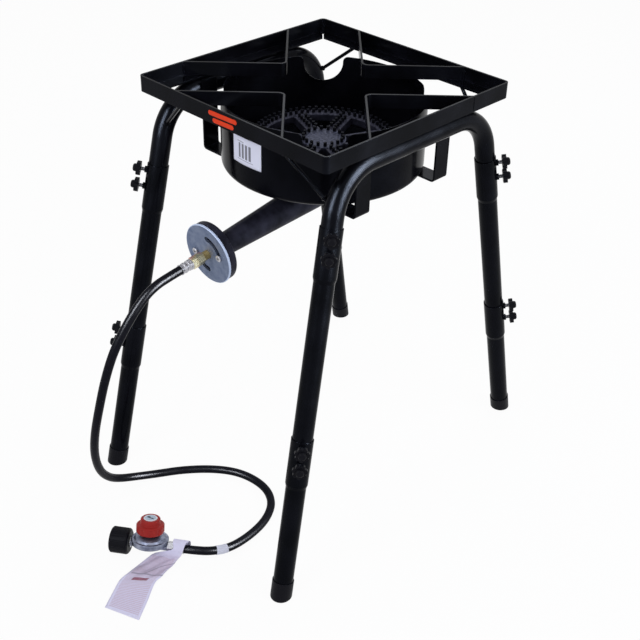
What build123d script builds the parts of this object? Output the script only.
from build123d import *
from math import cos, pi, radians, sin, sqrt, tan
import os

os.makedirs("parts", exist_ok=True)

# Stand: square angle iron frame on four telescoping legs
frame_side = 406.4
stand_height = 700.0
angle_width = 25.4
angle_wall = 3.2
frame_corner_radius = 8.0
mitre_slit = 2.0
support_apex = 86.0
support_wall = 3.2
support_bend = 10.0
brace_diameter = 6.0
brace_frame_x = 113.0
brace_edge = 8.0
brace_drop = 52.0

# Legs: tube, sockets and clamping knobs
tube_diameter = 32.0
tube_wall = 1.5
tube_bend = 82.0
tube_corner_y = 160.5
foot_spread_x = 221.3
foot_spread_y = 323.5
foot_twist_x = 28.9
foot_twist_y = 5.4
stub_length = 150.0
socket_clearance = 0.1
socket_wall = 1.5
socket_length = 75.0
shoulder_length = 6.0
socket_top_front_right = 78.0
socket_top_rear_right = 88.0
socket_top_front_left = 113.0
socket_top_rear_left = 84.0
middle_leg_length = 362.0
lower_leg_length = 275.0
cap_wall = 1.3
cap_height = 29.0
cap_base = 10.0
cap_edge = 1.2
knob_drop = 12.0
knob_spacing = 28.0
nut_flats = 10.0
nut_height = 3.0
nut_sink = 1.2
stud_diameter = 6.0
stud_clearance = 0.08
stud_gap = 0.3
knob_fit = 0.05
knob_standoff = 6.4
knob_diameter = 24.0
knob_lobes = 7
knob_lobe_radius = 3.4
knob_valley_radius = 2.2
knob_height = 7.0
knob_dome_diameter = 13.0
knob_dome_height = 6.0

# Wind guard and the two straps that hang it between the leg tubes
guard_radius = 162.7
guard_wall = 1.2
guard_bottom = 560.6
guard_rim_gap = 0.8
guard_fillet = 11.0
notch_width = 66.0
notch_depth = 43.0
notch_corner = 9.0
strap_width = 30.0
strap_wall = 3.2
strap_place = 90.0
strap_bend = 5.0

# Burner head
ring_top = 600.0
ring_inner = 98.0
ring_outer = 118.0
ring_depth = 14.0
ring_edge = 2.5
casting_wall = 4.0
hub_radius = 37.0
arm_width = 22.0
rib_width = 5.0
first_arm_angle = 112.5
arm_step = 45.0
port_stud_diameter = 5.4
port_stud_height = 7.0
port_stud_sides = 8
port_diameter = 1.8
port_sides = 6
ring_ports = 64
ring_port_inset = 5.0
hub_ports = 18
arm_port_pitch = 10.5
arm_port_spread = 9.5
neck_radius = 24.0
neck_clearance = 0.5
flange_radius = 46.0
flange_height = 6.0
bolt_circle = 37.0
bolt_count = 3
bolt_diameter = 6.0
bolt_clearance = 0.2
bolt_head = 4.0

# Mixing tube with its bell mouth, along an axis that drops towards the front
mix_height = 513.8
mix_tilt = 6.9
mix_back = 30.0
mix_radius = 26.0
mix_throat_radius = 17.0
bell_radius = 48.5
bell_rim = 14.0
bell_fillet = 14.0
bell_front = 244.0
bell_plate = 3.0
bell_boss_radius = 9.0
bell_boss_depth = 9.0

# Air shutter and its screws
shutter_radius = 49.5
shutter_thickness = 4.0
shutter_gap = 0.1
slot_radius = 28.5
slot_width = 9.0
slot_start = 14.0
slot_sweep = 70.0
screw_diameter = 5.0
screw_head_diameter = 11.0
screw_head_height = 3.2
screw_stop_gap = 0.3

# Gas fittings on the burner, along the mixing tube's axis
jet_thread_diameter = 12.0
jet_shank_diameter = 10.0
jet_collar_diameter = 14.4
jet_collar = 10.0
jet_thread = 10.0
jet_bore = 2.0
fit_clearance = 0.06
nut_length = 22.6
flare_nut_flats = 17.0
ferrule_diameter = 16.6
ferrule_length = 18.0
collar_length = 3.0

# Gas hose
hose_diameter = 14.0
hose_bore = 6.4
hose_lift = 0.2
hose_exit = 18.0
hose_entry = 16.0

# Regulator, standing on the floor at the end of the hose
regulator_x = 36.3
regulator_y = -420.9
outlet_angle = 35.0
regulator_lean = 16.0
port_height = 22.0
port_bore = 8.0
body_radius = 16.0
body_bottom = 17.0
body_top = 29.5
body_flange_radius = 30.0
body_flange = 5.0
chamber_radius = 24.0
chamber_depth = 2.0
boss_radius = 7.0
inlet_boss = 31.0
outlet_boss = 31.0
nipple_radius = 4.0
nipple_hex_flats = 17.0
nipple_hex = 2.0
nipple_shoulder_radius = 8.0
nipple_shoulder = 4.0
coupling_radius = 21.5
coupling_length = 31.0
coupling_wall = 3.5
coupling_ribs = 14
coupling_gap = 0.3
outlet_hex = 9.0
diaphragm_radius = 27.0
diaphragm_thickness = 1.2
bonnet_radius = 30.5
bonnet_rim = 4.5
bonnet_wall = 2.5
bonnet_slope = 6.0
neck_top = 57.0
bonnet_neck_radius = 12.0
spring_chamber_radius = 10.0
spring_radius = 8.4
spring_wire = 2.2
spring_turns = 4
button_height = 3.0
button_top = 50.5
adjust_radius = 4.0
adjust_top = 65.0
regulator_knob_radius = 22.8
regulator_knob_bottom = 45.7
regulator_knob_skirt = 14.8
regulator_knob_top_radius = 16.0
regulator_knob_top = 69.6
regulator_knob_flutes = 10
insert_radius = 11.2
insert_thickness = 2.0
insert_proud = 0.3

# Paper tag folded over the hose end
tag_thickness = 0.5
tag_lift = 0.4
tag_gap = 0.3
tag_upright = 5.0

# Places worked out from the sizes above
frame_half = frame_side / 2
frame_bottom = stand_height - angle_width
flange_top = frame_bottom + angle_wall
upright_inner = frame_half - angle_wall
tube_radius = tube_diameter / 2
tube_x = frame_half - tube_radius
tube_z = frame_bottom - tube_radius
socket_bore = tube_radius + socket_clearance
socket_radius = socket_bore + socket_wall
nut_face = socket_radius + nut_height
guard_rim = flange_top - guard_rim_gap
guard_floor = guard_bottom + guard_wall
arm_angles = [first_arm_angle + half + step for half in (0, 180) for step in (0, arm_step)]
rib_angles = [angle - 2 * arm_step for angle in arm_angles]
mix_origin = Vector(0, 0, mix_height)
mix_along = Vector(0, -cos(radians(mix_tilt)), -sin(radians(mix_tilt)))
mix_axis = Axis(mix_origin, mix_along)
mix_section = Plane(mix_origin, x_dir=mix_along, z_dir=(-1, 0, 0))
shutter_back = bell_front + shutter_gap
shutter_front = shutter_back + shutter_thickness
jet_seat = shutter_front + shutter_gap
flare_nut_start = jet_seat + jet_collar + shutter_gap
flare_nut_end = flare_nut_start + nut_length
ferrule_start = flare_nut_end + shutter_gap + collar_length
ferrule_end = ferrule_start + ferrule_length
regulator_foot = Vector(regulator_x, regulator_y, 0)
outlet_along = Vector(cos(radians(outlet_angle)), sin(radians(outlet_angle)), 0)
outlet_across = Vector(sin(radians(outlet_angle)), -cos(radians(outlet_angle)), 0)
regulator_axis = Axis(regulator_foot, (0, 0, 1))
regulator_section = Plane(regulator_foot, x_dir=outlet_along, z_dir=outlet_across)
port_centre = regulator_foot + Vector(0, 0, port_height)
port_axis = Axis(port_centre, outlet_along)
port_section = Plane(port_centre, x_dir=outlet_along, z_dir=outlet_across)
outlet_ferrule_start = outlet_boss + outlet_hex
outlet_ferrule_end = outlet_ferrule_start + ferrule_length


class Leg:
    """Centre line of one leg, from the corner of its bent tube down to the floor."""

    def __init__(self, name, side, end, socket_top):
        twist = side * end
        foot = Vector(
            side * (foot_spread_x - twist * foot_twist_x),
            end * (foot_spread_y - twist * foot_twist_y),
            0,
        )
        diagonal = Vector(side, end, 0)
        self.name = name
        self.side = side
        self.end = end
        self.top = Vector(side * tube_x, end * tube_corner_y, tube_z)
        self.along = (foot - self.top).normalized()
        self.length = (foot - self.top).length
        self.outward = (diagonal - self.along * diagonal.dot(self.along)).normalized()
        self.axis = Axis(self.top, self.along)
        self.section = Plane(self.top, x_dir=self.outward, z_dir=self.outward.cross(self.along))
        self.middle_top = socket_top
        self.lower_top = self.length - lower_leg_length

    def knob_plane(self, distance):
        """Plane on the centre line whose z points outwards, square to the leg."""
        return Plane(self.top + self.along * distance, x_dir=self.along, z_dir=self.outward)


front_right = Leg("front_right", 1, -1, socket_top_front_right)
rear_right = Leg("rear_right", 1, 1, socket_top_rear_right)
front_left = Leg("front_left", -1, -1, socket_top_front_left)
rear_left = Leg("rear_left", -1, 1, socket_top_rear_left)
legs = [front_right, rear_right, front_left, rear_left]


def save(part, name):
    """Label a finished piece and write it to its own file."""
    part.label = name
    export_step(part, f"parts/{name}.step")


def turn(plane, axis, *outline, mode=Mode.ADD):
    """Turn a closed outline of straight lines, drawn on the plane, round the axis."""
    with BuildSketch(plane) as profile:
        with BuildLine():
            Polyline(*outline, close=True)
        make_face()
    revolve(profile.sketch, axis=axis, mode=mode)


def mouth_plane(distance):
    """Plane across the mixing tube's axis, seen from the front with x to the right."""
    return Plane(mix_origin + mix_along * distance, x_dir=(1, 0, 0), z_dir=mix_along)


def port_plane(distance):
    """Plane across the regulator's inlet and outlet axis, facing the outlet."""
    return Plane(port_centre + outlet_along * distance, x_dir=(0, 0, 1), z_dir=outlet_along)


def lean(part):
    """Tip a finished piece of the regulator back about the line of its inlet and outlet."""
    return part.rotate(port_axis, -regulator_lean)


# Top frame: upright flange outside, flat flange at the bottom, slit at each corner
with BuildPart() as top_frame:
    with BuildSketch(Plane.XY.offset(frame_bottom)):
        RectangleRounded(frame_side, frame_side, frame_corner_radius)
        Rectangle(frame_side - 2 * angle_width, frame_side - 2 * angle_width, mode=Mode.SUBTRACT)
    extrude(amount=angle_wall)
    with BuildSketch(Plane.XY.offset(frame_bottom)):
        RectangleRounded(frame_side, frame_side, frame_corner_radius)
        RectangleRounded(
            2 * upright_inner, 2 * upright_inner, frame_corner_radius - angle_wall, mode=Mode.SUBTRACT
        )
    extrude(amount=angle_width)
    slit_start = frame_half - angle_width - mitre_slit
    slit_end = frame_half - frame_corner_radius
    with BuildSketch(Plane.XY.offset(frame_bottom)):
        with PolarLocations((slit_start + slit_end) / sqrt(2), 4, start_angle=45):
            Rectangle((slit_end - slit_start) * sqrt(2), mitre_slit)
    extrude(amount=angle_wall, mode=Mode.SUBTRACT)
save(top_frame.part, "top_frame")


# Pan supports: flat bar bent to a V, its ends against the frame
def make_pan_support(angle):
    """One support, whose sharp corner points at the centre of the frame."""
    face = Plane.XY.offset(flange_top).rotated((0, 0, angle))
    reach = frame_half - support_apex
    with BuildPart() as pan_support:
        with BuildSketch(face):
            with BuildLine():
                FilletPolyline(
                    (support_apex + reach, -reach),
                    (support_apex, 0),
                    (support_apex + reach, reach),
                    radius=support_bend,
                )
            trace(line_width=support_wall)
            with Locations((upright_inner + frame_half, 0)):
                Rectangle(2 * frame_half, frame_side, mode=Mode.SUBTRACT)
        extrude(amount=angle_width - angle_wall)
    return pan_support.part


for place, side_name in enumerate(("right", "rear", "left", "front")):
    save(make_pan_support(90 * place), f"pan_support_{side_name}")


# Leg tubes: each bent tube makes the tops of a front leg and a rear leg
def leg_run(front, rear):
    """Centre line of a bent tube, from its front end over the top to its rear end."""
    return FilletPolyline(
        front.top + front.along * stub_length,
        front.top,
        rear.top,
        rear.top + rear.along * stub_length,
        radius=tube_bend,
    )


def make_leg_tube(run):
    """Bent tube whose two ends slide into the sockets of the middle legs."""
    with BuildPart() as leg_tube:
        with BuildSketch(Plane(run @ 0, z_dir=run % 0)):
            Circle(tube_radius)
            Circle(tube_radius - tube_wall, mode=Mode.SUBTRACT)
        sweep(path=run)
    return leg_tube.part


right_run = leg_run(front_right, rear_right)
left_run = leg_run(front_left, rear_left)
save(make_leg_tube(right_run), "leg_tube_right")
save(make_leg_tube(left_run), "leg_tube_left")


# Braces: thin rods from under the frame to the leg tubes, cut to the tubes
with BuildPart() as leg_braces:
    for leg in legs:
        frame_end = Vector(leg.side * brace_frame_x, leg.end * (frame_half - brace_edge), frame_bottom)
        tube_end = leg.top + leg.along * brace_drop
        rise = (frame_end - tube_end).normalized() * brace_diameter
        with BuildSketch(Plane(tube_end, z_dir=frame_end - tube_end)):
            Circle(brace_diameter / 2)
        extrude(amount=(frame_end + rise - tube_end).length)
    split(bisect_by=Plane.XY.offset(frame_bottom), keep=Keep.BOTTOM)
    for run in (right_run, left_run):
        with BuildSketch(Plane(run @ 0, z_dir=run % 0)):
            Circle(tube_radius)
        sweep(path=run, mode=Mode.SUBTRACT)
save(leg_braces.part, "leg_braces")


# Middle and lower legs: tube with a widened socket and two welded nuts
def make_leg_piece(leg, top, bottom):
    """Tube from one distance along the leg to another, with a socket at its upper end."""
    socket_end = top + socket_length
    tube_start = socket_end + shoulder_length
    with BuildPart() as leg_piece:
        turn(
            leg.section,
            leg.axis,
            (socket_bore, top),
            (socket_radius, top),
            (socket_radius, socket_end),
            (tube_radius, tube_start),
            (tube_radius, bottom),
            (tube_radius - tube_wall, bottom),
            (tube_radius - tube_wall, tube_start),
            (socket_bore, socket_end),
        )
        for drop in (knob_drop, knob_drop + knob_spacing):
            with BuildSketch(leg.knob_plane(top + drop).offset(nut_face)):
                RegularPolygon(nut_flats / 2, 6, major_radius=False)
            extrude(amount=-(nut_height + nut_sink))
        for drop in (knob_drop, knob_drop + knob_spacing):
            with BuildSketch(leg.knob_plane(top + drop)):
                Circle(stud_diameter / 2 + stud_clearance)
            extrude(amount=nut_face, mode=Mode.SUBTRACT)
    return leg_piece.part


def make_foot_cap(leg):
    """Plastic cap over the end of the lower leg, cut flat where it stands on the floor."""
    cap_radius = tube_radius + cap_wall
    with BuildPart() as foot_cap:
        turn(
            leg.section,
            leg.axis,
            (tube_radius, leg.length - cap_height),
            (cap_radius, leg.length - cap_height),
            (cap_radius, leg.length + tube_radius),
            (0, leg.length + tube_radius),
            (0, leg.length - cap_base),
            (tube_radius, leg.length - cap_base),
        )
        split(bisect_by=Plane.XY, keep=Keep.TOP)
        fillet(foot_cap.edges().group_by(Axis.Z)[0], radius=cap_edge)
    return foot_cap.part


def make_star_knob(plane):
    """Lobed plastic head on a threaded stud that clamps the tube inside the socket."""
    head_base = nut_face + knob_standoff
    head_top = head_base + knob_height
    stud_start = tube_radius + stud_gap
    stud_end = head_top
    half_step = pi / knob_lobes
    lobe_ring = knob_diameter / 2 - knob_lobe_radius
    reach = knob_lobe_radius + knob_valley_radius
    valley_ring = lobe_ring * cos(half_step) + sqrt(reach**2 - (lobe_ring * sin(half_step)) ** 2)
    centres = []
    for step in range(2 * knob_lobes):
        ring = valley_ring if step % 2 else lobe_ring
        centres.append((ring * cos(step * half_step), ring * sin(step * half_step)))
    with BuildPart() as star_knob:
        with BuildSketch(plane.offset(head_base)):
            with BuildLine():
                Polyline(*centres, close=True)
            make_face()
            with PolarLocations(lobe_ring, knob_lobes):
                Circle(knob_lobe_radius)
            with PolarLocations(valley_ring, knob_lobes, start_angle=180 / knob_lobes):
                Circle(knob_valley_radius, mode=Mode.SUBTRACT)
        extrude(amount=knob_height)
        with BuildSketch(plane.offset(head_top)):
            Circle(knob_dome_diameter / 2)
        extrude(amount=knob_dome_height)
        outward = Axis(plane.origin, plane.z_dir)
        fillet(star_knob.edges().group_by(outward)[-1], radius=knob_dome_height * 0.6)
        with BuildSketch(plane.offset(head_base)):
            Circle(stud_diameter / 2 + knob_fit)
        extrude(amount=knob_height + knob_fit, mode=Mode.SUBTRACT)
        with BuildSketch(plane.offset(stud_start)):
            Circle(stud_diameter / 2)
        extrude(amount=stud_end - stud_start)
    return star_knob.part


for leg in legs:
    lower_end = leg.length - cap_base
    save(make_leg_piece(leg, leg.middle_top, leg.middle_top + middle_leg_length), f"middle_leg_{leg.name}")
    save(make_leg_piece(leg, leg.lower_top, lower_end), f"lower_leg_{leg.name}")
    save(make_foot_cap(leg), f"foot_cap_{leg.name}")
    for tier, top in (("middle", leg.middle_top), ("lower", leg.lower_top)):
        for level, drop in (("high", knob_drop), ("low", knob_drop + knob_spacing)):
            knob = make_star_knob(leg.knob_plane(top + drop))
            save(knob, f"star_knob_{leg.name}_{tier}_{level}")


# Wind guard: pan with a closed floor and four U shaped notches on the diagonals
with BuildPart() as wind_guard:
    wall_middle = guard_radius - guard_wall / 2
    floor_middle = guard_bottom + guard_wall / 2
    with BuildSketch(Plane.XZ):
        with BuildLine():
            FilletPolyline(
                (neck_radius + neck_clearance, floor_middle),
                (wall_middle, floor_middle),
                (wall_middle, guard_rim),
                radius=guard_fillet,
            )
        trace(line_width=guard_wall)
    revolve(axis=Axis.Z)
    notch_radius = notch_width / 2
    for quarter in range(4):
        angle = 45 + 90 * quarter
        outward = Vector(cos(radians(angle)), sin(radians(angle)), 0)
        inside = outward * (guard_radius / 2)
        face = Plane(inside + Vector(0, 0, guard_rim), x_dir=Vector(0, 0, 1).cross(outward), z_dir=outward)
        with BuildSketch(face) as notch:
            with Locations((0, notch_radius - notch_depth)):
                Circle(notch_radius)
            with Locations((0, (notch_radius - notch_depth) / 2)):
                Rectangle(notch_width, notch_depth - notch_radius)
            with Locations((0, notch_width / 2)):
                Rectangle(2 * notch_width, notch_width)
            rim_corners = notch.vertices().filter_by(lambda v: abs(v.Y) < 0.001 and abs(v.X) < notch_width)
            fillet(rim_corners, radius=notch_corner)
        extrude(amount=guard_radius, mode=Mode.SUBTRACT)
    with BuildSketch(Plane.XY.offset(guard_bottom)):
        with PolarLocations(bolt_circle, bolt_count, start_angle=90):
            Circle(bolt_diameter / 2 + bolt_clearance)
    extrude(amount=guard_wall, mode=Mode.SUBTRACT)
save(wind_guard.part, "wind_guard")


# Guard straps: flat bars bent to a wide U under the guard
def make_guard_strap(place):
    """Strap that runs under the guard's floor and up the inner sides of both leg tubes."""
    outer = tube_x - tube_radius
    middle = outer - strap_wall / 2
    with BuildPart() as guard_strap:
        with BuildSketch(Plane.XZ.offset(-place - strap_width / 2)):
            with BuildLine():
                FilletPolyline(
                    (-middle, frame_bottom),
                    (-middle, guard_bottom - strap_wall / 2),
                    (middle, guard_bottom - strap_wall / 2),
                    (middle, frame_bottom),
                    radius=strap_bend,
                )
            trace(line_width=strap_wall)
        extrude(amount=strap_width)
    return guard_strap.part


save(make_guard_strap(-strap_place), "guard_strap_front")
save(make_guard_strap(strap_place), "guard_strap_rear")


# Curved slots of the air shutter, and the air openings that they uncover in the bell's front plate
screw_slack = (slot_width - screw_diameter) / 2 - screw_stop_gap
screw_angle = slot_start - screw_slack / slot_radius * 180 / pi
air_start = screw_angle + slot_width * 1.5 / slot_radius * 180 / pi
slot_line = CenterArc((0, 0), slot_radius, slot_start, slot_sweep)
air_line = CenterArc((0, 0), slot_radius, air_start, slot_start + slot_sweep - air_start)


# Burner casting: head, neck, mixing tube and bell mouth, hollow for the gas
with BuildPart() as burner_casting:
    ring_bottom = ring_top - ring_depth
    channel_top = ring_top - casting_wall
    channel_bottom = ring_bottom + casting_wall
    channel_depth = channel_top - channel_bottom
    ring_middle = (ring_inner + ring_outer) / 2
    with BuildSketch(Plane.XZ):
        with Locations((ring_middle, ring_top - ring_depth / 2)):
            RectangleRounded(ring_outer - ring_inner, ring_depth, ring_edge)
    revolve(axis=Axis.Z)
    turn(
        Plane.XZ,
        Axis.Z,
        (0, ring_top),
        (hub_radius, ring_top),
        (hub_radius, ring_bottom),
        (neck_radius, guard_floor + flange_height),
        (flange_radius, guard_floor + flange_height),
        (flange_radius, guard_floor),
        (neck_radius, guard_floor),
        (neck_radius, mix_height),
        (0, mix_height),
    )
    with BuildSketch(Plane.XY.offset(ring_bottom)):
        for angles, width in ((arm_angles, arm_width), (rib_angles, rib_width)):
            for angle in angles:
                with PolarLocations((hub_radius + ring_inner) / 2, 1, start_angle=angle):
                    Rectangle(ring_middle - hub_radius / 2, width)
    extrude(amount=ring_depth - ring_edge / 2)
    with BuildSketch(mix_section):
        with BuildLine():
            FilletPolyline(
                (-mix_back, 0),
                (-mix_back, mix_radius),
                (mix_radius, mix_radius),
                (bell_front - bell_rim, mix_throat_radius),
                (bell_front - bell_rim, bell_radius),
                (bell_front, bell_radius),
                (bell_front, 0),
                radius=[mix_radius / 2, mix_radius, bell_fillet, casting_wall, casting_wall / 4],
            )
            Line((bell_front, 0), (-mix_back, 0))
        make_face()
    revolve(axis=mix_axis)
    # Studs that carry the flame ports: two rows on the ring, the rest on the hub and the arms.
    # There are nearly two hundred, so studs and ports have few sides.
    with BuildSketch(Plane.XY.offset(ring_top - ring_edge)) as port_studs:
        with PolarLocations(ring_outer - ring_port_inset, ring_ports):
            RegularPolygon(port_stud_diameter / 2, port_stud_sides)
        with PolarLocations(ring_inner + ring_port_inset, ring_ports, start_angle=180 / ring_ports):
            RegularPolygon(port_stud_diameter / 2, port_stud_sides)
        with PolarLocations(hub_radius - ring_port_inset, hub_ports):
            RegularPolygon(port_stud_diameter / 2, port_stud_sides)
        arm_rows = int((ring_inner - hub_radius) / arm_port_pitch)
        for angle in arm_angles:
            for row in range(arm_rows):
                distance = hub_radius + arm_port_pitch * (row + 0.5)
                offset_y = arm_port_spread / 2
                with PolarLocations(0, 1, start_angle=angle):
                    with Locations((distance, -offset_y), (distance + arm_port_pitch / 2, offset_y)):
                        RegularPolygon(port_stud_diameter / 2, port_stud_sides)
    extrude(amount=ring_edge + port_stud_height)
    port_depth = port_stud_height + casting_wall + channel_depth / 2
    with BuildSketch(Plane.XY.offset(ring_top + port_stud_height)):
        with Locations(*[tuple(face.center())[:2] for face in port_studs.sketch.faces()]):
            RegularPolygon(port_diameter / 2, port_sides)
    extrude(amount=-port_depth, mode=Mode.SUBTRACT)
    # Front plate of the bell: hole for the jet, two curved air openings and two screw holes
    with BuildSketch(mouth_plane(bell_front)):
        Circle(jet_shank_diameter / 2)
    extrude(amount=-(bell_plate + bell_boss_depth), mode=Mode.SUBTRACT)
    with BuildSketch(mouth_plane(bell_front)):
        for half_turn in (0, 180):
            SlotArc(air_line, slot_width, rotation=half_turn)
        with PolarLocations(slot_radius, 2, start_angle=screw_angle):
            Circle(screw_diameter / 2)
    extrude(amount=-bell_plate, mode=Mode.SUBTRACT)
    # Gas passages: ring channel, arm channels, hub chamber, riser and mixing tube round the jet's boss
    with BuildSketch(Plane.XZ):
        with Locations((ring_middle, (channel_top + channel_bottom) / 2)):
            Rectangle(ring_outer - ring_inner - 2 * casting_wall, channel_depth)
    revolve(axis=Axis.Z, mode=Mode.SUBTRACT)
    with BuildSketch(Plane.XY.offset(channel_bottom)):
        Circle(hub_radius - casting_wall)
        for angle in arm_angles:
            with PolarLocations(ring_middle / 2, 1, start_angle=angle):
                Rectangle(ring_middle, arm_width - 2 * casting_wall)
    extrude(amount=channel_depth, mode=Mode.SUBTRACT)
    with BuildSketch(Plane.XY.offset(mix_height)):
        Circle(neck_radius - 2 * casting_wall)
    extrude(amount=channel_bottom - mix_height, mode=Mode.SUBTRACT)
    with BuildSketch(mix_section):
        bell_back = bell_front - bell_rim + casting_wall
        plate_back = bell_front - bell_plate
        boss_back = plate_back - bell_boss_depth
        with BuildLine():
            FilletPolyline(
                (casting_wall - mix_back, 0),
                (casting_wall - mix_back, mix_radius - casting_wall),
                (mix_radius, mix_radius - casting_wall),
                (bell_back, mix_throat_radius - casting_wall),
                (bell_back, bell_radius - casting_wall),
                (plate_back, bell_radius - casting_wall),
                (plate_back, bell_boss_radius),
                (boss_back, bell_boss_radius),
                (boss_back, 0),
                radius=[mix_radius / 3, mix_radius, bell_fillet] + [casting_wall / 4] * 4,
            )
            Line((boss_back, 0), (casting_wall - mix_back, 0))
        make_face()
    revolve(axis=mix_axis, mode=Mode.SUBTRACT)
    with BuildSketch(Plane.XY.offset(guard_floor)):
        with PolarLocations(bolt_circle, bolt_count, start_angle=90):
            Circle(bolt_diameter / 2 + bolt_clearance)
    extrude(amount=flange_height, mode=Mode.SUBTRACT)
save(burner_casting.part, "burner_casting")


# Bolts and nuts that hold the casting's flange to the guard's floor
with BuildPart() as burner_bolts:
    bolt_flats = bolt_diameter * 1.65
    shank_bottom = guard_bottom - bolt_diameter
    shank_top = guard_floor + flange_height
    with BuildSketch(Plane.XY.offset(shank_top)):
        with PolarLocations(bolt_circle, bolt_count, start_angle=90):
            RegularPolygon(bolt_flats / 2, 6, major_radius=False)
    extrude(amount=bolt_head)
    with BuildSketch(Plane.XY.offset(shank_bottom)):
        with PolarLocations(bolt_circle, bolt_count, start_angle=90):
            Circle(bolt_diameter / 2)
    extrude(amount=shank_top - shank_bottom)
    with BuildSketch(Plane.XY.offset(guard_bottom)):
        with PolarLocations(bolt_circle, bolt_count, start_angle=90):
            RegularPolygon(bolt_flats / 2, 6, major_radius=False)
            Circle(bolt_diameter / 2 + knob_fit, mode=Mode.SUBTRACT)
    extrude(amount=-bolt_diameter * 0.8)
save(burner_bolts.part, "burner_bolts")


# Air shutter: disc with two curved slots, turning on the jet's collar
with BuildPart() as air_shutter:
    with BuildSketch(mouth_plane(shutter_back)):
        Circle(shutter_radius)
        Circle(jet_thread_diameter / 2 + fit_clearance, mode=Mode.SUBTRACT)
        for half_turn in (0, 180):
            SlotArc(slot_line, slot_width, rotation=half_turn, mode=Mode.SUBTRACT)
    extrude(amount=shutter_thickness)
    rims = air_shutter.edges().filter_by(GeomType.CIRCLE).filter_by(lambda e: e.radius > slot_radius * 1.5)
    chamfer(rims, length=shutter_thickness / 5)
save(air_shutter.part, "air_shutter")


with BuildPart() as shutter_screws:
    with BuildSketch(mouth_plane(bell_front - 2 * bell_plate)):
        with PolarLocations(slot_radius, 2, start_angle=screw_angle):
            Circle(screw_diameter / 2)
    extrude(amount=jet_seat - bell_front + 2 * bell_plate)
    with BuildSketch(mouth_plane(jet_seat)):
        with PolarLocations(slot_radius, 2, start_angle=screw_angle):
            Circle(screw_head_diameter / 2)
    extrude(amount=screw_head_height)
    head_rims = shutter_screws.edges().group_by(mix_axis)[-1]
    fillet(head_rims, radius=screw_head_height / 2.5)
    with BuildSketch(mouth_plane(jet_seat + screw_head_height)):
        with PolarLocations(slot_radius, 2, start_angle=screw_angle):
            Rectangle(screw_head_diameter * 0.6, screw_diameter / 4)
            Rectangle(screw_diameter / 4, screw_head_diameter * 0.6)
    extrude(amount=-screw_head_height / 2, mode=Mode.SUBTRACT)
save(shutter_screws.part, "shutter_screws")


# Brass jet: shank in the bell's boss, neck that the shutter turns on, collar and outer thread
with BuildPart() as orifice_fitting:
    turn(
        mix_section,
        mix_axis,
        (bell_front - bell_plate - bell_boss_depth, jet_bore / 2),
        (bell_front - bell_plate - bell_boss_depth, jet_shank_diameter / 2),
        (bell_front, jet_shank_diameter / 2),
        (bell_front, jet_thread_diameter / 2),
        (jet_seat, jet_thread_diameter / 2),
        (jet_seat, jet_collar_diameter / 2),
        (jet_seat + jet_collar, jet_collar_diameter / 2),
        (jet_seat + jet_collar, jet_thread_diameter / 2),
        (flare_nut_start + jet_thread, jet_thread_diameter / 2),
        (flare_nut_start + jet_thread, jet_bore / 2),
    )
save(orifice_fitting.part, "orifice_fitting")


with BuildPart() as flare_nut:
    with BuildSketch(mouth_plane(flare_nut_start)):
        RegularPolygon(flare_nut_flats / 2, 6, major_radius=False)
        Circle(jet_thread_diameter / 2 + fit_clearance, mode=Mode.SUBTRACT)
    extrude(amount=nut_length)
    nut_rims = flare_nut.edges().filter_by(GeomType.LINE).group_by(mix_axis)
    chamfer(nut_rims[0] + nut_rims[-1], length=flare_nut_flats / 20)
save(flare_nut.part, "flare_nut")


def ferrule_outline(start, end):
    """Outline of a crimped sleeve: two pressed grooves in its outside and the bore of the hose tail."""
    outer = ferrule_diameter / 2
    pressed = outer - casting_wall / 5
    step = (end - start) / 7
    return [
        (start, hose_bore / 4),
        (start, outer),
        (start + 1.5 * step, outer),
        (start + 2 * step, pressed),
        (start + 3 * step, pressed),
        (start + 3.5 * step, outer),
        (start + 4.5 * step, outer),
        (start + 5 * step, pressed),
        (start + 6 * step, pressed),
        (start + 6.5 * step, outer),
        (end, outer),
        (end, hose_bore / 4),
    ]


with BuildPart() as hose_end_burner:
    tail_start = flare_nut_start + jet_thread + shutter_gap
    turn(mix_section, mix_axis, *ferrule_outline(ferrule_start, ferrule_end))
    turn(
        mix_section,
        mix_axis,
        (tail_start, hose_bore / 4),
        (tail_start, jet_thread_diameter / 2),
        (ferrule_start - collar_length, jet_thread_diameter / 2),
        (ferrule_start - collar_length, flare_nut_flats / 2),
        (ferrule_start, flare_nut_flats / 2),
        (ferrule_start, hose_bore / 4),
    )
save(hose_end_burner.part, "hose_end_burner")


# Gas hose: route chosen by hand from the burner, down to the floor and round to the regulator
hose_floor = hose_diameter / 2 + hose_lift
hose_start = mix_origin + mix_along * ferrule_end
hose_finish = port_centre + outlet_along * outlet_ferrule_end
hose_points = [
    hose_start,
    hose_start + mix_along * hose_exit,
    Vector(-1, -348, 469.5),
    Vector(-3, -372, 453.5),
    Vector(-6, -396, 426),
    Vector(-15, -419, 383),
    Vector(-26, -433, 330),
    Vector(-41, -440, 268),
    Vector(-62, -440, 205),
    Vector(-83, -432, 145),
    Vector(-102, -414, 89),
    Vector(-115, -390, 51),
    Vector(-121, -365, 29),
    Vector(-119, -333, 15),
    Vector(-106, -296, hose_floor),
    Vector(-83, -257, hose_floor),
    Vector(-52, -220, hose_floor),
    Vector(-19, -194, hose_floor),
    Vector(14, -182, hose_floor),
    Vector(50, -180.5, hose_floor),
    Vector(78, -190, hose_floor),
    Vector(100, -209, hose_floor),
    Vector(117, -242, hose_floor),
    Vector(125.5, -285, 9.3),
    Vector(127.5, -328, 14.5),
    Vector(116.5, -358, 19.8),
    hose_finish + outlet_along * hose_entry,
    hose_finish,
]


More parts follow.
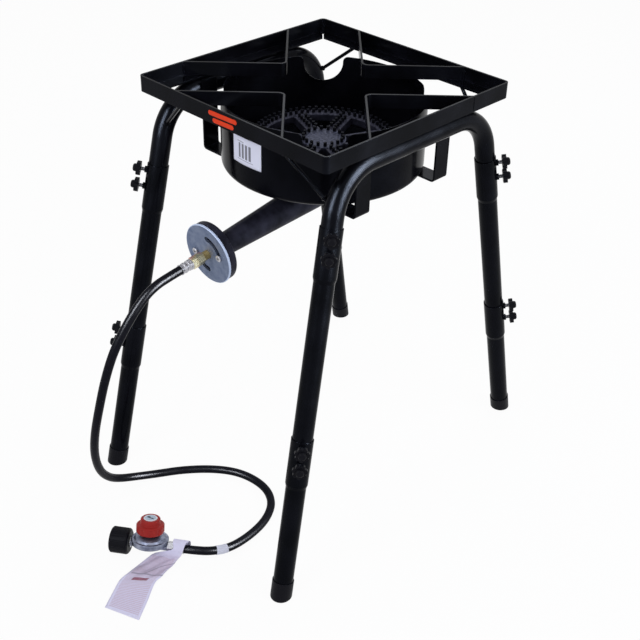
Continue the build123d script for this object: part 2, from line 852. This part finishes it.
def corner_radius(before, corner, after):
    """Largest smooth arc at a corner of the route that leaves a tenth of the shorter run straight."""
    shorter = min((corner - before).length, (after - corner).length)
    half_turn = radians((corner - before).get_angle(after - corner)) / 2
    return 0.45 * shorter / tan(half_turn)


hose_radii = [corner_radius(*hose_points[i : i + 3]) for i in range(len(hose_points) - 2)]
hose_run = FilletPolyline(*hose_points, radius=hose_radii)
with BuildPart() as gas_hose:
    with BuildSketch(Plane(hose_run @ 0, z_dir=hose_run % 0)):
        Circle(hose_diameter / 2)
        Circle(hose_bore / 2, mode=Mode.SUBTRACT)
    sweep(path=hose_run)
save(gas_hose.part, "gas_hose")
hose_section = pi * (hose_diameter**2 - hose_bore**2) / 4
print("hose length", round(hose_run.length, 1), "bend radii", [round(r) for r in hose_radii])
print("hose volume over section times length", gas_hose.part.volume / (hose_section * hose_run.length))


# Regulator: body with inlet and outlet bosses, open at the top under the diaphragm
with BuildPart() as regulator_body:
    flange_bottom = body_top - body_flange
    chamber_floor = body_top - chamber_depth
    edge = body_flange / 4
    turn(
        regulator_section,
        regulator_axis,
        (0, body_bottom),
        (body_radius - edge, body_bottom),
        (body_radius, body_bottom + edge),
        (body_radius, flange_bottom - body_flange),
        (body_flange_radius - edge, flange_bottom),
        (body_flange_radius, flange_bottom + edge),
        (body_flange_radius, body_top),
        (0, body_top),
    )
    with BuildSketch(port_plane(-inlet_boss)):
        Circle(boss_radius)
    extrude(amount=inlet_boss + outlet_boss)
    with BuildSketch(Plane.XY.offset(chamber_floor)):
        with Locations((regulator_x, regulator_y)):
            Circle(chamber_radius)
    extrude(amount=2 * chamber_depth, mode=Mode.SUBTRACT)
    with BuildSketch(port_plane(-inlet_boss)):
        Circle(nipple_radius)
    extrude(amount=inlet_boss - port_bore, mode=Mode.SUBTRACT)
    with BuildSketch(port_plane(outlet_boss)):
        Circle(nipple_radius)
    extrude(amount=port_bore - outlet_boss, mode=Mode.SUBTRACT)
    for side in (-1, 1):
        duct = regulator_foot + outlet_along * side * port_bore * 1.3
        with BuildSketch(Plane.XY.offset(port_height)):
            with Locations((duct.X, duct.Y)):
                Circle(port_bore / 4)
        extrude(amount=chamber_floor - port_height, mode=Mode.SUBTRACT)
save(lean(regulator_body.part), "regulator_body")


with BuildPart() as diaphragm:
    turn(
        regulator_section,
        regulator_axis,
        (0, body_top),
        (diaphragm_radius, body_top),
        (diaphragm_radius, body_top + diaphragm_thickness),
        (0, body_top + diaphragm_thickness),
    )
save(lean(diaphragm.part), "diaphragm")


# Bonnet: domed cover with the neck that guides the adjusting screw
with BuildPart() as regulator_bonnet:
    diaphragm_top = body_top + diaphragm_thickness
    rim_top = body_top + bonnet_rim
    shelf = rim_top + bonnet_rim
    neck_start = shelf + bonnet_slope
    guide_bottom = neck_top - button_height - bonnet_wall
    turn(
        regulator_section,
        regulator_axis,
        (diaphragm_radius, body_top),
        (bonnet_radius, body_top),
        (bonnet_radius, rim_top - edge),
        (bonnet_radius - edge, rim_top),
        (bonnet_radius - bonnet_rim, rim_top),
        (bonnet_radius - 1.5 * bonnet_rim, shelf - edge),
        (bonnet_neck_radius + 2 * edge, neck_start - 2 * edge),
        (bonnet_neck_radius, neck_start),
        (bonnet_neck_radius, neck_top),
        (adjust_radius + fit_clearance, neck_top),
        (adjust_radius + fit_clearance, guide_bottom),
        (spring_chamber_radius, guide_bottom),
        (spring_chamber_radius, neck_start - 2 * bonnet_wall),
        (chamber_radius, shelf - bonnet_rim - edge),
        (chamber_radius, diaphragm_top),
        (diaphragm_radius, diaphragm_top),
    )
save(lean(regulator_bonnet.part), "regulator_bonnet")


# Pressure spring: one coil of wire between the diaphragm and the button
def coil_point(quarter, bottom, pitch):
    """Place and direction of the coil's centre line after so many quarter turns."""
    angle = quarter * pi / 2
    place = Vector(
        regulator_x + spring_radius * cos(angle),
        regulator_y + spring_radius * sin(angle),
        bottom + pitch * quarter / 4,
    )
    slope = Vector(-spring_radius * sin(angle), spring_radius * cos(angle), pitch / (2 * pi))
    return place, slope.normalized()


def arc_pair(start, start_along, end, end_along):
    """Two arcs that meet in one direction and join two points of the coil smoothly."""
    gap = end - start
    both = start_along + end_along
    a = 2 * (1 - start_along.dot(end_along))
    b = 2 * gap.dot(both)
    reach = (sqrt(b * b + 4 * a * gap.dot(gap)) - b) / (2 * a)
    first_corner = start + start_along * reach
    last_corner = end - end_along * reach
    joint = (first_corner + last_corner) / 2
    return [
        TangentArc(start, joint, tangent=start_along),
        TangentArc(joint, end, tangent=last_corner - first_corner),
    ]


spring_bottom = body_top + diaphragm_thickness + spring_wire / 2 + fit_clearance
spring_top = button_top - button_height - spring_wire / 2 - fit_clearance
spring_pitch = (spring_top - spring_bottom) / spring_turns
coil_stations = [coil_point(q, spring_bottom, spring_pitch) for q in range(4 * spring_turns + 1)]
coil_arcs = []
for (start, start_along), (end, end_along) in zip(coil_stations, coil_stations[1:]):
    coil_arcs += arc_pair(start, start_along, end, end_along)
coil_run = Wire(coil_arcs)
with BuildPart() as pressure_spring:
    with BuildSketch(Plane(coil_stations[0][0], z_dir=coil_stations[0][1])):
        Circle(spring_wire / 2)
    sweep(path=coil_run)
save(lean(pressure_spring.part), "pressure_spring")
print("spring gap between turns", round(spring_pitch - spring_wire, 2))


with BuildPart() as spring_button:
    turn(
        regulator_section,
        regulator_axis,
        (0, button_top - button_height),
        (spring_radius + spring_wire / 5, button_top - button_height),
        (spring_radius + spring_wire / 5, button_top - button_height / 2),
        (adjust_radius, button_top),
        (0, button_top),
    )
save(lean(spring_button.part), "spring_button")


with BuildPart() as adjusting_screw:
    turn(
        regulator_section,
        regulator_axis,
        (0, button_top),
        (adjust_radius, button_top),
        (adjust_radius, adjust_top - 1),
        (adjust_radius - 1, adjust_top),
        (0, adjust_top),
    )
save(lean(adjusting_screw.part), "adjusting_screw")


# Regulator knob: fluted skirt, narrower top tier and the recess for its white insert
with BuildPart() as regulator_knob:
    skirt_top = regulator_knob_bottom + regulator_knob_skirt
    skirt_wall = regulator_knob_radius / 8
    recess_floor = regulator_knob_top + insert_proud - insert_thickness
    sleeve = bonnet_neck_radius + fit_clearance
    turn(
        regulator_section,
        regulator_axis,
        (0, regulator_knob_bottom),
        (regulator_knob_radius - edge, regulator_knob_bottom),
        (regulator_knob_radius, regulator_knob_bottom + edge),
        (regulator_knob_radius, skirt_top - 2 * edge),
        (regulator_knob_radius - 2 * edge, skirt_top - edge / 2),
        (regulator_knob_top_radius + edge, skirt_top),
        (regulator_knob_top_radius, skirt_top + edge),
        (regulator_knob_top_radius, regulator_knob_top - edge),
        (regulator_knob_top_radius - edge, regulator_knob_top),
        (0, regulator_knob_top),
    )
    with BuildSketch(Plane.XY.offset(regulator_knob_bottom)):
        with Locations((regulator_x, regulator_y)):
            with PolarLocations(regulator_knob_radius + 1.55 * skirt_wall, regulator_knob_flutes):
                Circle(2 * skirt_wall)
    extrude(amount=regulator_knob_skirt - 2 * edge, mode=Mode.SUBTRACT)
    turn(
        regulator_section,
        regulator_axis,
        (sleeve + skirt_wall, regulator_knob_bottom),
        (regulator_knob_radius - 1.5 * skirt_wall, regulator_knob_bottom),
        (regulator_knob_radius - 1.5 * skirt_wall, skirt_top - 2 * skirt_wall),
        (sleeve + skirt_wall, skirt_top - 2 * skirt_wall),
        mode=Mode.SUBTRACT,
    )
    turn(
        regulator_section,
        regulator_axis,
        (0, regulator_knob_bottom),
        (sleeve, regulator_knob_bottom),
        (sleeve, neck_top + 3 * fit_clearance),
        (adjust_radius + fit_clearance, neck_top + 3 * fit_clearance),
        (adjust_radius + fit_clearance, adjust_top + 1),
        (0, adjust_top + 1),
        mode=Mode.SUBTRACT,
    )
    with BuildSketch(Plane.XY.offset(recess_floor)):
        with Locations((regulator_x, regulator_y)):
            Circle(insert_radius)
    extrude(amount=insert_thickness, mode=Mode.SUBTRACT)
save(lean(regulator_knob.part), "regulator_knob")


with BuildPart() as knob_insert:
    turn(
        regulator_section,
        regulator_axis,
        (0, recess_floor),
        (insert_radius, recess_floor),
        (insert_radius, recess_floor + insert_thickness - insert_proud),
        (insert_radius - insert_proud, recess_floor + insert_thickness),
        (0, recess_floor + insert_thickness),
    )
save(lean(knob_insert.part), "knob_insert")


# Inlet: brass nipple and the ribbed hand nut that turns on it
coupling_back = inlet_boss + nipple_hex + coupling_gap
coupling_inside = coupling_back + coupling_wall
coupling_front = coupling_back + coupling_length
shoulder_start = coupling_inside + coupling_gap
with BuildPart() as inlet_nipple:
    turn(
        port_section,
        port_axis,
        (-port_bore, port_bore / 4),
        (-port_bore, nipple_radius),
        (-shoulder_start, nipple_radius),
        (-shoulder_start, nipple_shoulder_radius),
        (-shoulder_start - nipple_shoulder, nipple_shoulder_radius),
        (-shoulder_start - 1.5 * nipple_shoulder, nipple_radius),
        (-shoulder_start - 2 * nipple_shoulder, port_bore / 2.5),
        (-shoulder_start - 2 * nipple_shoulder, port_bore / 4),
    )
    with BuildSketch(port_plane(-inlet_boss)):
        RegularPolygon(nipple_hex_flats / 2, 6, major_radius=False)
        Circle(nipple_radius, mode=Mode.SUBTRACT)
    extrude(amount=-nipple_hex)
save(inlet_nipple.part, "inlet_nipple")


with BuildPart() as coupling_nut:
    inner = coupling_radius - coupling_wall
    lead = coupling_wall / 2
    turn(
        port_section,
        port_axis,
        (-coupling_back, nipple_radius + fit_clearance),
        (-coupling_back, coupling_radius - 2 * lead),
        (-coupling_back - lead, coupling_radius - lead / 2),
        (-coupling_back - 2 * lead, coupling_radius),
        (-coupling_front + lead, coupling_radius),
        (-coupling_front, coupling_radius - lead),
        (-coupling_front, inner),
        (-coupling_inside, inner),
        (-coupling_inside, nipple_radius + fit_clearance),
    )
    with BuildSketch(port_plane(-coupling_front)):
        with PolarLocations(coupling_radius + lead / 2, coupling_ribs):
            Circle(lead)
    extrude(amount=coupling_length - 2 * lead, mode=Mode.SUBTRACT)
save(coupling_nut.part, "coupling_nut")


# Outlet: hexagon fitting and the crimped sleeve on the hose
with BuildPart() as outlet_fitting:
    with BuildSketch(port_plane(outlet_boss)):
        RegularPolygon(nipple_hex_flats / 2, 6, major_radius=False)
        Circle(hose_bore / 4, mode=Mode.SUBTRACT)
    extrude(amount=outlet_hex)
    with BuildSketch(port_plane(outlet_boss)):
        Circle(nipple_radius)
        Circle(hose_bore / 4, mode=Mode.SUBTRACT)
    extrude(amount=port_bore - outlet_boss)
save(outlet_fitting.part, "outlet_fitting")


with BuildPart() as hose_end_regulator:
    turn(port_section, port_axis, *ferrule_outline(outlet_ferrule_start, outlet_ferrule_end))
save(hose_end_regulator.part, "hose_end_regulator")


# Paper tag: strip folded over the outlet sleeve and lying forwards on the floor
with BuildPart() as paper_tag:
    ferrule_radius = ferrule_diameter / 2
    tag_ridge = port_height + 2 * ferrule_radius
    tag_floor = tag_lift + tag_thickness / 2
    tag_side = ferrule_radius + tag_gap + tag_thickness / 2
    fall = Plane(regulator_foot, x_dir=outlet_across, z_dir=outlet_along * -1)
    tag_outline = [
        (-36.1, 125.3),
        (23, 139.9),
        (30, 61),
        (35, 46),
        (47, 22),
        (56, 10),
        (67, -4),
        (66, -14),
        (outlet_ferrule_start + 1, -14),
        (outlet_ferrule_start, 10),
        (20, 11),
        (-18, 43),
        (-31, 64.4),
    ]
    with BuildSketch(fall.offset(-outlet_ferrule_end - ferrule_length)):
        with BuildLine():
            Polyline(
                (-tag_side, port_height - tag_upright),
                (-tag_side, port_height + tag_upright),
                (-ferrule_radius / 2, tag_ridge),
                (ferrule_radius / 2, tag_ridge),
                (tag_side, port_height + tag_upright),
                (tag_side, port_height - tag_upright),
                (ferrule_radius + 12, tag_floor + 3),
                (64, tag_floor + 4),
                (84, tag_floor),
                (140, tag_floor),
            )
        trace(line_width=tag_thickness)
    extrude(amount=outlet_ferrule_end + ferrule_length + 60)
    plan = Plane(regulator_foot, x_dir=outlet_along, z_dir=(0, 0, -1))
    with BuildSketch(plan.offset(-stand_height / 2)):
        with BuildLine():
            Polyline(*tag_outline, close=True)
        make_face()
    extrude(amount=stand_height / 2, mode=Mode.INTERSECT)
save(paper_tag.part, "paper_tag")
